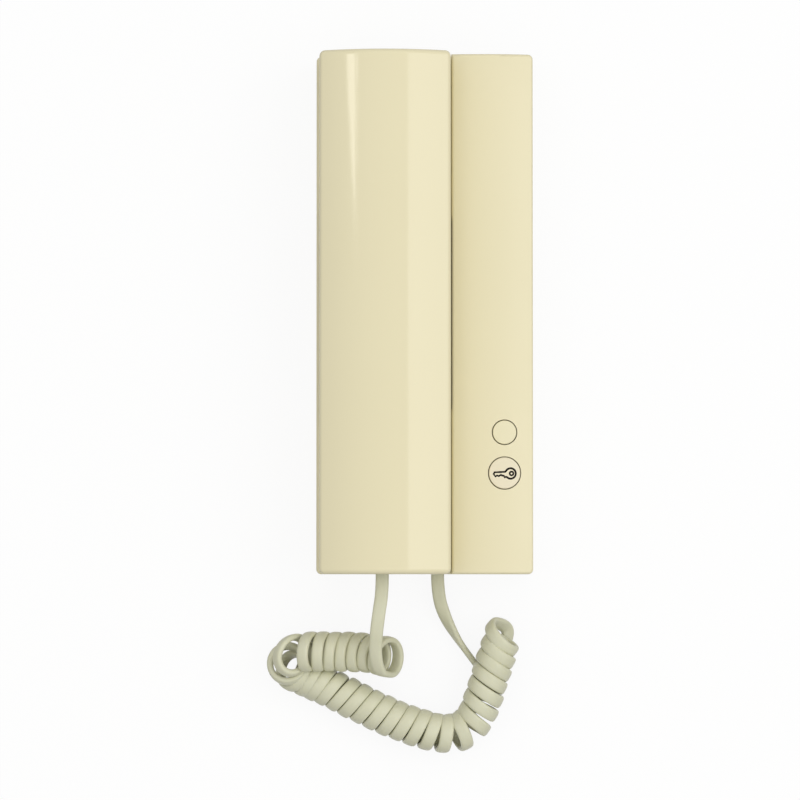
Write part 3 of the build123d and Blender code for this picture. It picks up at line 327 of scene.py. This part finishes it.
# plastic, tape or foam: faint cloudiness in the colour, a fine skin and hazy gloss
def mouldedPlastic(name, look):
    material, tree, shader, place = startMaterial(name, {
        "IOR": look["ior"], "Roughness": look["roughness"]})
    cloud = addNode(tree, "ShaderNodeTexNoise", {
        "Scale": 1 / look["cloudSize"], "Detail": 2.0, "Roughness": 0.45}, {"Vector": place})
    colour = addNode(tree, "ShaderNodeMix", {
        "data_type": "RGBA", 6: paint(look["dark"]), 7: paint(look["light"])},
        {0: cloud.outputs["Fac"]})
    skin = addNode(tree, "ShaderNodeTexNoise", {"Scale": 1 / look["skinSize"], "Detail": 3.0},
                   {"Vector": place})
    bump = addNode(tree, "ShaderNodeBump", {
        "Strength": look["skinStrength"], "Distance": look["skinDepth"]},
        {"Height": skin.outputs["Fac"]})
    haze = addNode(tree, "ShaderNodeTexNoise", {
        "Scale": 1 / look["hazeSize"], "Detail": 4.0, "Roughness": 0.6}, {"Vector": place})
    gloss = addNode(tree, "ShaderNodeMapRange", {"From Min": 0.3, "From Max": 0.7,
                    "To Min": look["roughness"] * 0.85, "To Max": look["roughness"] * 1.2},
                    {"Value": haze.outputs["Fac"]})
    tree.links.new(colour.outputs[2], shader.inputs["Base Color"])
    tree.links.new(bump.outputs["Normal"], shader.inputs["Normal"])
    tree.links.new(gloss.outputs["Result"], shader.inputs["Roughness"])
    return material


# polished ABS: the eye sees a sharp streak of the window and very soft dips where the wall has shrunk
handsetAbs = mouldedPlastic("glossyIvoryAbs", {
    "ior": 1.53, "roughness": 0.085, "dark": "#E3DAB4", "light": "#E7DEB9", "cloudSize": 90 * mm,
    "skinSize": 24 * mm, "skinDepth": 0.12 * mm, "skinStrength": 0.35, "hazeSize": 30 * mm})
# the same ABS from a slightly duller mould
coverAbs = mouldedPlastic("satinIvoryAbs", {
    "ior": 1.53, "roughness": 0.34, "dark": "#E3DAB4", "light": "#E7DEB9", "cloudSize": 90 * mm,
    "skinSize": 20 * mm, "skinDepth": 0.12 * mm, "skinStrength": 0.3, "hazeSize": 26 * mm})
# spark-eroded back plate: an even matt grain of about 0.2 mm, drawn at 0.4 mm to show
plateAbs = mouldedPlastic("grainedIvoryAbs", {
    "ior": 1.53, "roughness": 0.5, "dark": "#DCD3B0", "light": "#E1D9B8", "cloudSize": 40 * mm,
    "skinSize": 0.4 * mm, "skinDepth": 0.03 * mm, "skinStrength": 0.5, "hazeSize": 12 * mm})
plainCapAbs = mouldedPlastic("plainCapAbs", {
    "ior": 1.53, "roughness": 0.34, "dark": "#E4DCB6", "light": "#E8E0BC", "cloudSize": 20 * mm,
    "skinSize": 6 * mm, "skinDepth": 0.05 * mm, "skinStrength": 0.3, "hazeSize": 7 * mm})
# another batch of plastic, so the key cap is a little pinker
keyCapAbs = mouldedPlastic("keyCapAbs", {
    "ior": 1.53, "roughness": 0.34, "dark": "#E5DBBC", "light": "#E9DFC2", "cloudSize": 20 * mm,
    "skinSize": 6 * mm, "skinDepth": 0.05 * mm, "skinStrength": 0.3, "hazeSize": 7 * mm})
# acetal, slippery and milky
whiteAcetal = mouldedPlastic("whiteAcetal", {
    "ior": 1.48, "roughness": 0.35, "dark": "#E4E3DC", "light": "#ECEBE5", "cloudSize": 8 * mm,
    "skinSize": 0.5 * mm, "skinDepth": 0.02 * mm, "skinStrength": 0.4, "hazeSize": 3 * mm})
blackPbt = mouldedPlastic("blackPbt", {
    "ior": 1.55, "roughness": 0.42, "dark": "#161617", "light": "#1F1F20", "cloudSize": 10 * mm,
    "skinSize": 0.3 * mm, "skinDepth": 0.02 * mm, "skinStrength": 0.6, "hazeSize": 4 * mm})
greenPolyamide = mouldedPlastic("greenPolyamide", {
    "ior": 1.53, "roughness": 0.4, "dark": "#2F6B4B", "light": "#377A56", "cloudSize": 8 * mm,
    "skinSize": 0.3 * mm, "skinDepth": 0.02 * mm, "skinStrength": 0.5, "hazeSize": 3 * mm})
# soft PVC of the grommets, dull and a little darker than the cord
grommetPvc = mouldedPlastic("grommetPvc", {
    "ior": 1.52, "roughness": 0.55, "dark": "#BDBC9C", "light": "#C6C5A6", "cloudSize": 6 * mm,
    "skinSize": 0.35 * mm, "skinDepth": 0.03 * mm, "skinStrength": 0.5, "hazeSize": 3 * mm})
capacitorSleeve = mouldedPlastic("shrunkPvcSleeve", {
    "ior": 1.53, "roughness": 0.28, "dark": "#1D2850", "light": "#26335F", "cloudSize": 5 * mm,
    "skinSize": 1.2 * mm, "skinDepth": 0.03 * mm, "skinStrength": 0.4, "hazeSize": 3 * mm})
windingTape = mouldedPlastic("polyesterTape", {
    "ior": 1.6, "roughness": 0.3, "dark": "#C9A93F", "light": "#D8BB55", "cloudSize": 5 * mm,
    "skinSize": 2.0 * mm, "skinDepth": 0.05 * mm, "skinStrength": 0.6, "hazeSize": 2 * mm})
capsuleFoam = mouldedPlastic("closedCellFoam", {
    "ior": 1.5, "roughness": 0.9, "dark": "#1B1B1B", "light": "#2A2A2A", "cloudSize": 3 * mm,
    "skinSize": 0.35 * mm, "skinDepth": 0.15 * mm, "skinStrength": 1.0, "hazeSize": 2 * mm})
print("moulded materials made")

# Extruded PVC of the cord: slightly translucent, with faint clouds in its colour and sheen and a
# fine skin
cordPvc, tree, shader, place = startMaterial("extrudedCordPvc", {
    "IOR": 1.52, "Roughness": 0.4, "Subsurface Weight": 0.12, "Subsurface Scale": 0.0015,
    "Subsurface Radius": (1.0, 0.9, 0.6)})
cloud = addNode(tree, "ShaderNodeTexNoise", {"Scale": 1 / (14 * mm), "Detail": 3.0}, {"Vector": place})
tint = addNode(tree, "ShaderNodeMix", {"data_type": "RGBA", 6: paint("#C9C8AA"), 7: paint("#DDDCC2")},
               {0: cloud.outputs["Fac"]})
speck = addNode(tree, "ShaderNodeTexNoise", {"Scale": 1 / (0.6 * mm), "Detail": 2.0},
                {"Vector": place})
bump = addNode(tree, "ShaderNodeBump", {"Strength": 0.25, "Distance": 0.03 * mm},
               {"Height": speck.outputs["Fac"]})
shine = addNode(tree, "ShaderNodeMapRange", {
    "From Min": 0.3, "From Max": 0.7, "To Min": 0.32, "To Max": 0.46},
    {"Value": cloud.outputs["Fac"]})
tree.links.new(tint.outputs[2], shader.inputs["Base Color"])
tree.links.new(bump.outputs["Normal"], shader.inputs["Normal"])
tree.links.new(shine.outputs["Result"], shader.inputs["Roughness"])


# metal with fine marks left by its tool and a patchy sheen
def formedMetal(name, look):
    material, tree, shader, place = startMaterial(name, {
        "Metallic": 1.0, "Roughness": look["roughness"]})
    stretched = addNode(tree, "ShaderNodeMapping", {"Scale": look["stretch"]}, {"Vector": place})
    marks = addNode(tree, "ShaderNodeTexNoise", {"Scale": 1 / look["markSize"], "Detail": 3.0},
                    {"Vector": stretched.outputs["Vector"]})
    tint = addNode(tree, "ShaderNodeMix", {
        "data_type": "RGBA", 6: paint(look["dark"]), 7: paint(look["light"])},
        {0: marks.outputs["Fac"]})
    rough = addNode(tree, "ShaderNodeMapRange", {"From Min": 0.3, "From Max": 0.7,
                    "To Min": look["roughness"] * 0.8, "To Max": look["roughness"] * 1.35},
                    {"Value": marks.outputs["Fac"]})
    bump = addNode(tree, "ShaderNodeBump", {"Strength": 0.3, "Distance": 0.02 * mm},
                   {"Height": marks.outputs["Fac"]})
    tree.links.new(tint.outputs[2], shader.inputs["Base Color"])
    tree.links.new(rough.outputs["Result"], shader.inputs["Roughness"])
    tree.links.new(bump.outputs["Normal"], shader.inputs["Normal"])
    return material


# zinc-plated and passivated: grey with a cool sheen
zincSteel = formedMetal("zincPlatedSteel", {
    "roughness": 0.34, "dark": "#A7A9A8", "light": "#BFC1BF", "markSize": 0.5 * mm, "stretch": (1, 1, 1)})
# drawn spring wire, with its lines along the turns
springWire = formedMetal("drawnSpringWire", {
    "roughness": 0.28, "dark": "#8E9090", "light": "#A9ABAB", "markSize": 0.4 * mm, "stretch": (1, 1, 4)})
terminalBrass = formedMetal("nickelledBrass", {
    "roughness": 0.3, "dark": "#B9AC83", "light": "#CDC29B", "markSize": 0.4 * mm, "stretch": (1, 1, 1)})
capsuleAluminium = formedMetal("stampedAluminium", {
    "roughness": 0.38, "dark": "#A9A9A5", "light": "#BDBDB9", "markSize": 0.8 * mm, "stretch": (1, 1, 1)})
# stacked iron sheets, drawn as coarse wavy lines across the stack, about 1.4 mm apart
coreIron, tree, shader, place = startMaterial("stackedIronSheet", {"Metallic": 1.0, "Roughness": 0.5})
sheets = addNode(tree, "ShaderNodeTexWave", {
    "bands_direction": "Y", "Scale": 227.371, "Distortion": 0.4, "Detail": 1.0}, {"Vector": place})
tint = addNode(tree, "ShaderNodeMix", {"data_type": "RGBA", 6: paint("#474441"), 7: paint("#7C7771")},
               {0: sheets.outputs["Fac"]})
bump = addNode(tree, "ShaderNodeBump", {"Strength": 0.5, "Distance": 0.05 * mm},
               {"Height": sheets.outputs["Fac"]})
tree.links.new(tint.outputs[2], shader.inputs["Base Color"])
tree.links.new(bump.outputs["Normal"], shader.inputs["Normal"])

# glass-epoxy laminate under green solder mask, with a plain pattern of paler tracks 2.4 mm apart
boardLaminate, tree, shader, place = startMaterial("maskedLaminate", {"IOR": 1.55, "Roughness": 0.32})
tracks = addNode(tree, "ShaderNodeTexBrick", {"Scale": 1.0, "Brick Width": 9 * mm, "Row Height": 2.4 * mm,
                 "Mortar Size": 0.35 * mm, "Mortar Smooth": 0.1, "Color1": paint("#1F5A33"),
                 "Color2": paint("#235F37"), "Mortar": paint("#3C8A52")}, {"Vector": place})
weave = addNode(tree, "ShaderNodeTexVoronoi", {"Scale": 1 / (0.6 * mm)}, {"Vector": place})
bump = addNode(tree, "ShaderNodeBump", {"Strength": 0.2, "Distance": 0.02 * mm},
               {"Height": weave.outputs["Distance"]})
tree.links.new(tracks.outputs["Color"], shader.inputs["Base Color"])
tree.links.new(bump.outputs["Normal"], shader.inputs["Normal"])

# lacquered resistors, beige with plain coloured rings about 0.7 mm wide
resistorLacquer, tree, shader, place = startMaterial("resistorLacquer", {"IOR": 1.5, "Roughness": 0.3})
across = addNode(tree, "ShaderNodeSeparateXYZ", links={"Vector": place})
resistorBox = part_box("resistors")
ringPlace = addNode(tree, "ShaderNodeMapRange", {
    "From Min": resistorBox[0].x, "From Max": resistorBox[1].x}, {"Value": across.outputs["X"]})
rings = addNode(tree, "ShaderNodeValToRGB", links={"Fac": ringPlace.outputs["Result"]})
rings.color_ramp.interpolation = "CONSTANT"
ringStops = [(0.0, "#A9A9A7"), (0.18, "#CBB389"), (0.3, "#6B3A22"), (0.37, "#CBB389"), (0.44, "#17110E"),
             (0.51, "#CBB389"), (0.58, "#A33A22"), (0.65, "#CBB389"), (0.82, "#A9A9A7")]
while len(rings.color_ramp.elements) < len(ringStops):
    rings.color_ramp.elements.new(0.5)
for stop, (position, colour) in zip(rings.color_ramp.elements, ringStops):
    stop.position = position
    stop.color = paint(colour)
grain = addNode(tree, "ShaderNodeTexNoise", {"Scale": 1 / (0.8 * mm)}, {"Vector": place})
bump = addNode(tree, "ShaderNodeBump", {"Strength": 0.2, "Distance": 0.02 * mm},
               {"Height": grain.outputs["Fac"]})
tree.links.new(rings.outputs["Color"], shader.inputs["Base Color"])
tree.links.new(bump.outputs["Normal"], shader.inputs["Normal"])

# pad-printed ink of the key sign: nearly black, dull and a little uneven
signInk, tree, shader, place = startMaterial("padPrintInk", {
    "IOR": 1.5, "Roughness": 0.6, "Specular IOR Level": 0.2})
cover = addNode(tree, "ShaderNodeTexNoise", {"Scale": 1 / (0.5 * mm), "Detail": 3.0}, {"Vector": place})
tint = addNode(tree, "ShaderNodeMix", {"data_type": "RGBA", 6: paint("#0A0602"), 7: paint("#1A1208")},
               {0: cover.outputs["Fac"]})
tree.links.new(tint.outputs[2], shader.inputs["Base Color"])
print("all materials made")

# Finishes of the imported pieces

finishes = {
    "back_plate": plateAbs, "front_cover": coverAbs, "cover_screw": zincSteel,
    "circuit_board": boardLaminate, "board_screws": zincSteel, "terminal_block": greenPolyamide,
    "terminal_screws": terminalBrass, "call_sounder": blackPbt, "transformer_core": coreIron,
    "transformer_winding": windingTape, "capacitors": capacitorSleeve, "resistors": resistorLacquer,
    "button_switches": blackPbt, "hook_switch": blackPbt, "plain_button": plainCapAbs,
    "key_button": keyCapAbs, "plain_switch_actuator": whiteAcetal, "key_switch_actuator": whiteAcetal,
    "hook_plunger": whiteAcetal, "hook_spring": springWire, "base_grommet": grommetPvc,
    "handset_grommet": grommetPvc, "handset_outer_shell": handsetAbs, "handset_inner_shell": handsetAbs,
    "handset_screws": zincSteel, "earpiece_gasket": capsuleFoam, "earpiece_capsule": capsuleAluminium,
    "microphone_boot": capsuleFoam, "microphone_capsule": capsuleAluminium,
    "curly_cord": cordPvc, "handset_lead": cordPvc, "base_lead": cordPvc}
for name, finish in finishes.items():
    piece = nodes[name]
    piece.data.materials.clear()
    piece.data.materials.append(finish)

# Cord pieces

for tube in (liftingCord, restingCord):
    tube.data.materials.append(cordPvc)
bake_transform(liftingCord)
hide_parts("handset_lead", "curly_cord")
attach(restingCord, "base")
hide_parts("base_lead", "curly_cord")
print("cord pieces placed")

# Key sign printed on the larger button

keySign = {
    "stroke": 0.82 * mm,
    "thickness": 0.03 * mm,
    "bowCentre": (2.42, -0.17),   # from the button's centre, in millimetres
    "bowRadius": 2.09,
    "bowFrom": -137,   # degrees round the bow, from its lower to its upper root
    "bowTo": 137,
    "bowPoints": 40,
    "eyeCentre": (2.80, -0.17),
    "eyeRadius": 0.74,
    "eyeStroke": 0.74 * mm,
    "eyeTo": 345,      # the stroke closes the last step of the ring by itself
    "eyePoints": 24,
    "blade": [(0.40, 0.62), (0.12, 0.47), (-1.9, 0.37), (-4.04, 0.28), (-4.43, -0.42),
              (-3.72, -1.42), (-3.02, -0.98), (-2.32, -1.27), (-1.48, -0.74), (-0.88, -1.05),
              (-0.26, -1.10), (0.02, -1.78), (0.42, -1.52)],
    "castHeight": 10 * mm,   # above the button's top, from where the cap's surface is looked for
    "smoothBelow": 60,       # degrees between faces
}
keyCap = nodes["key_button"]
keyLow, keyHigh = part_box("key_button")
keyCentre = (keyLow + keyHigh) / 2


# a closed flat line of printed ink through the points, laid on the button's curved top
def signStroke(name, points, stroke):
    curve = bpy.data.curves.new(name, "CURVE")
    curve.dimensions = "3D"
    curve.bevel_depth = stroke / 2
    curve.bevel_resolution = 2
    spline = curve.splines.new("POLY")
    spline.points.add(len(points) - 1)
    for point, (x, y) in zip(spline.points, points):
        point.co = (keyCentre.x + x * mm, keyCentre.y + y * mm, 0, 1)
    spline.use_cyclic_u = True
    sign = bpy.data.objects.new(name, curve)
    bpy.context.scene.collection.objects.link(sign)
    bpy.context.view_layer.objects.active = sign
    sign.select_set(True)
    bpy.ops.object.convert(target="MESH")
    for vertex in sign.data.vertices:
        above = Vector((vertex.co.x, vertex.co.y, keyHigh.z + keySign["castHeight"]))
        spot = keyCap.ray_cast(above, Vector((0, 0, -1)))[1]
        vertex.co.z = spot.z + vertex.co.z / stroke * keySign["thickness"] * 2
    bpy.ops.object.shade_smooth_by_angle(angle=math.radians(keySign["smoothBelow"]))
    sign.select_set(False)
    sign.data.materials.append(signInk)
    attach(sign, "key_button")


def ring(centre, radius, degreesFrom, degreesTo, count):
    angles = [math.radians(degreesFrom + (degreesTo - degreesFrom) * i / (count - 1))
              for i in range(count)]
    return [(centre[0] + radius * math.cos(a), centre[1] + radius * math.sin(a)) for a in angles]


bow = ring(keySign["bowCentre"], keySign["bowRadius"], keySign["bowFrom"], keySign["bowTo"],
           keySign["bowPoints"])
eye = ring(keySign["eyeCentre"], keySign["eyeRadius"], 0, keySign["eyeTo"], keySign["eyePoints"])
signStroke("keyOutline", bow + keySign["blade"], keySign["stroke"])
signStroke("keyEye", eye, keySign["eyeStroke"])
print("key sign printed")

# Floor, light and background

studio = {
    "floorSize": 6.0,
    "floorDrop": 0.2 * mm,      # below the set's back, so the two faces don't meet
    "floorSeen": "#F4F4F2",     # the paint's colour as the camera sees it
    "floorGlow": 0.9,           # share of plain white that the camera sees on the floor
    "floorBounce": "#8E8E8C",   # what the floor throws back on the set
    "roomAxis": (0.08, 0.12, 0.99),   # way to the brightest part of the room
    "roomLow": 0.12,            # light from the dark and the bright side, and where along the
    "roomHigh": 0.98,           # way between them it starts to rise and has risen
    "riseFrom": -0.15,
    "riseTo": 0.8,
    "panelHeight": 1.6,
    "rightPanel": (0.52, 2.20, -0.50, 0.80),   # left, right, near and far edge
    "panelLight": 1.45,
    # outline of the window whose streak runs down the handset, and of the slit beside it
    "window": [(-1.04, 0.36), (-0.745, 0.36), (-0.745, 0.17), (-0.83, 0.216), (-0.935, 0.2637),
               (-1.01, 0.31)],
    "windowSlit": [(-0.715, 0.36), (-0.676, 0.36), (-0.69, 0.12)],
    "windowLight": 5.2,
}
bpy.ops.mesh.primitive_plane_add(size=studio["floorSize"], location=(0, 0, -studio["floorDrop"]))
floor = bpy.context.object
floor.name = "paleFloor"
floor.select_set(False)
floorPaint, tree, shader, _ = startMaterial("paleFloorPaint", {"Roughness": 0.8})
rays = addNode(tree, "ShaderNodeLightPath")
tone = addNode(tree, "ShaderNodeMix", {
    "data_type": "RGBA", 6: paint(studio["floorBounce"]), 7: paint(studio["floorSeen"])},
    {0: rays.outputs["Is Camera Ray"]})
tree.links.new(tone.outputs[2], shader.inputs["Base Color"])
glow = addNode(tree, "ShaderNodeEmission", {"Strength": 1.0, "Color": (1, 1, 1, 1)})
seen = addNode(tree, "ShaderNodeMath", {"operation": "MAXIMUM"}, {0: rays.outputs["Is Camera Ray"],
               1: rays.outputs["Is Glossy Ray"]})
seenAll = addNode(tree, "ShaderNodeMath", {"operation": "MAXIMUM"}, {0: seen.outputs[0],
                  1: rays.outputs["Is Transmission Ray"]})
share = addNode(tree, "ShaderNodeMath", {"operation": "MULTIPLY", 1: studio["floorGlow"]},
                {0: seenAll.outputs[0]})
mix = addNode(tree, "ShaderNodeMixShader", links={"Fac": share.outputs[0], 1: shader.outputs["BSDF"],
              2: glow.outputs["Emission"]})
tree.links.new(mix.outputs["Shader"], tree.nodes["Material Output"].inputs["Surface"])
floor.data.materials.append(floorPaint)

world = bpy.data.worlds.new("studioRoom")
bpy.context.scene.world = world
world.use_nodes = True
tree = world.node_tree
ambient = tree.nodes["Background"]
ambient.inputs["Color"].default_value = (1, 1, 1, 1)
way = addNode(tree, "ShaderNodeTexCoord")
height = addNode(tree, "ShaderNodeVectorMath", {"operation": "DOT_PRODUCT", 1: studio["roomAxis"]},
                 {0: way.outputs["Generated"]})
level = addNode(tree, "ShaderNodeMapRange", {
    "interpolation_type": "SMOOTHSTEP", "From Min": studio["riseFrom"], "From Max": studio["riseTo"],
    "To Min": studio["roomLow"], "To Max": studio["roomHigh"]}, {"Value": height.outputs["Value"]})
tree.links.new(level.outputs["Result"], ambient.inputs["Strength"])
white = addNode(tree, "ShaderNodeBackground", {"Color": (1, 1, 1, 1), "Strength": 1.0})
rays = addNode(tree, "ShaderNodeLightPath")
seen = addNode(tree, "ShaderNodeMath", {"operation": "MAXIMUM"}, {0: rays.outputs["Is Camera Ray"],
               1: rays.outputs["Is Glossy Ray"]})
seenAll = addNode(tree, "ShaderNodeMath", {"operation": "MAXIMUM"}, {0: seen.outputs[0],
                  1: rays.outputs["Is Transmission Ray"]})
mix = addNode(tree, "ShaderNodeMixShader", links={"Fac": seenAll.outputs[0], 1: ambient.outputs[0],
              2: white.outputs[0]})
tree.links.new(mix.outputs["Shader"], tree.nodes["World Output"].inputs["Surface"])

left, right, near, far = studio["rightPanel"]
panelMiddle = ((left + right) / 2, (near + far) / 2, studio["panelHeight"])
bpy.ops.object.light_add(type="AREA", location=panelMiddle)
panel = bpy.context.object
panel.name = "rightPanel"
panel.data.shape = "RECTANGLE"
panel.data.size, panel.data.size_y = right - left, far - near
panel.data.energy = studio["panelLight"] * math.pi * (right - left) * (far - near)
panel.select_set(False)

windowLight = bpy.data.materials.new("windowDaylight")
windowLight.use_nodes = True
tree = windowLight.node_tree
glow = addNode(tree, "ShaderNodeEmission", {"Strength": studio["windowLight"], "Color": paint("#FFFBF4")})
tree.links.new(glow.outputs["Emission"], tree.nodes["Material Output"].inputs["Surface"])
for name in ("window", "windowSlit"):
    outline = [(x, y, studio["panelHeight"]) for x, y in studio[name]]
    mesh = bpy.data.meshes.new(name)
    mesh.from_pydata(outline, [], [tuple(range(len(outline)))])
    pane = bpy.data.objects.new(name, mesh)
    bpy.context.scene.collection.objects.link(pane)
    pane.data.materials.append(windowLight)

bpy.context.scene.view_settings.view_transform = "Standard"
print("studio lit")
